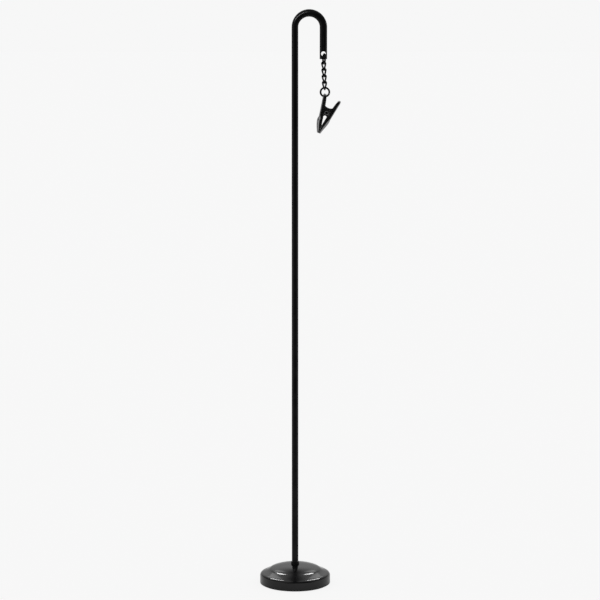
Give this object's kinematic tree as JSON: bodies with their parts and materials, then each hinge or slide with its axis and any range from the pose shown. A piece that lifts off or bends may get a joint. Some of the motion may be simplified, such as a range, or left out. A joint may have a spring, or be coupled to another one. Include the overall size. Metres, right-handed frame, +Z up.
{
  "type": "standing memo clip holder",
  "caption": "Tall hooked rod on a weighted round base. A sprung clip hangs from the hook by a short twisted chain and holds a card, photo or ticket upright on a desk.",
  "frame": {"origin": "middle of the base pad's underside, on the table", "axes": "+Z up along the rod, +X from the rod towards the hook's leg and the clip, +Y to the back"},
  "size_m": [0.0738, 0.0652, 0.53],
  "materials": {
    "base_paint": "gloss black paint",
    "rod_paint": "satin black paint",
    "chain_plate": "black plating",
    "clip_plate": "polished black plating",
    "weight_iron": "as cast",
    "zinc_plate": "zinc plate",
    "spring_steel": "drawn wire",
    "pad_foam": "soft matt"
  },
  "bodies": {
    "stand": {"base_pad": "pad_foam", "base_weight": "weight_iron", "base_cover": "base_paint", "base_screw": "zinc_plate", "lock_washer": "zinc_plate", "flat_washer": "zinc_plate", "foot_collar": "rod_paint", "pole": "rod_paint"},
    "upper_ring": {"upper_ring": "chain_plate"},
    "chain_link_1": {"chain_link_1": "chain_plate"},
    "chain_link_2": {"chain_link_2": "chain_plate"},
    "chain_link_3": {"chain_link_3": "chain_plate"},
    "chain_link_4": {"chain_link_4": "chain_plate"},
    "lower_ring": {"lower_ring": "chain_plate"},
    "clip": {"hanging_jaw": "clip_plate", "pivot_pin": "clip_plate", "torsion_spring": "spring_steel"},
    "press_jaw": {"press_jaw": "clip_plate"}
  },
  "joints": [
    {"name": "upper_ring_swing", "type": "hinge", "parent": "stand", "child": "upper_ring", "pos_m": [0.0257, 0, 0.49015], "axis": [0, -1, 0], "range_deg": [-10, 56]},
    {"name": "link_1_swing", "type": "hinge", "parent": "upper_ring", "child": "chain_link_1", "pos_m": [0.02608, 0, 0.48105], "axis": [0, 1, 0], "range_deg": [-56, 12]},
    {"name": "link_2_swing", "type": "hinge", "parent": "chain_link_1", "child": "chain_link_2", "pos_m": [0.02625, 0, 0.47701], "axis": [0.9991, 0, 0.0419], "range_deg": [-36, 36]},
    {"name": "link_3_swing", "type": "hinge", "parent": "chain_link_2", "child": "chain_link_3", "pos_m": [0.02656, 0, 0.46951], "axis": [0, -1, 0], "range_deg": [-12, 36]},
    {"name": "link_4_swing", "type": "hinge", "parent": "chain_link_3", "child": "chain_link_4", "pos_m": [0.02674, 0, 0.46542], "axis": [-0.9991, 0, -0.0419], "range_deg": [-36, 36]},
    {"name": "lower_ring_swing", "type": "hinge", "parent": "chain_link_4", "child": "lower_ring", "pos_m": [0.02705, 0, 0.45792], "axis": [0, 1, 0], "range_deg": [-56, 18]},
    {"name": "clip_swing", "type": "hinge", "parent": "lower_ring", "child": "clip", "pos_m": [0.02574, 0, 0.45183], "axis": [0.9373, 0, -0.3486], "range_deg": [-75, 75]},
    {"name": "jaw_open", "type": "hinge", "parent": "clip", "child": "press_jaw", "pos_m": [0.02862, 0, 0.43689], "axis": [0, -1, 0], "range_deg": [0, 34], "stiffness_Nm_per_rad": 0.06, "springref_deg": -34.38, "deforming": ["torsion_spring"]}
  ]
}
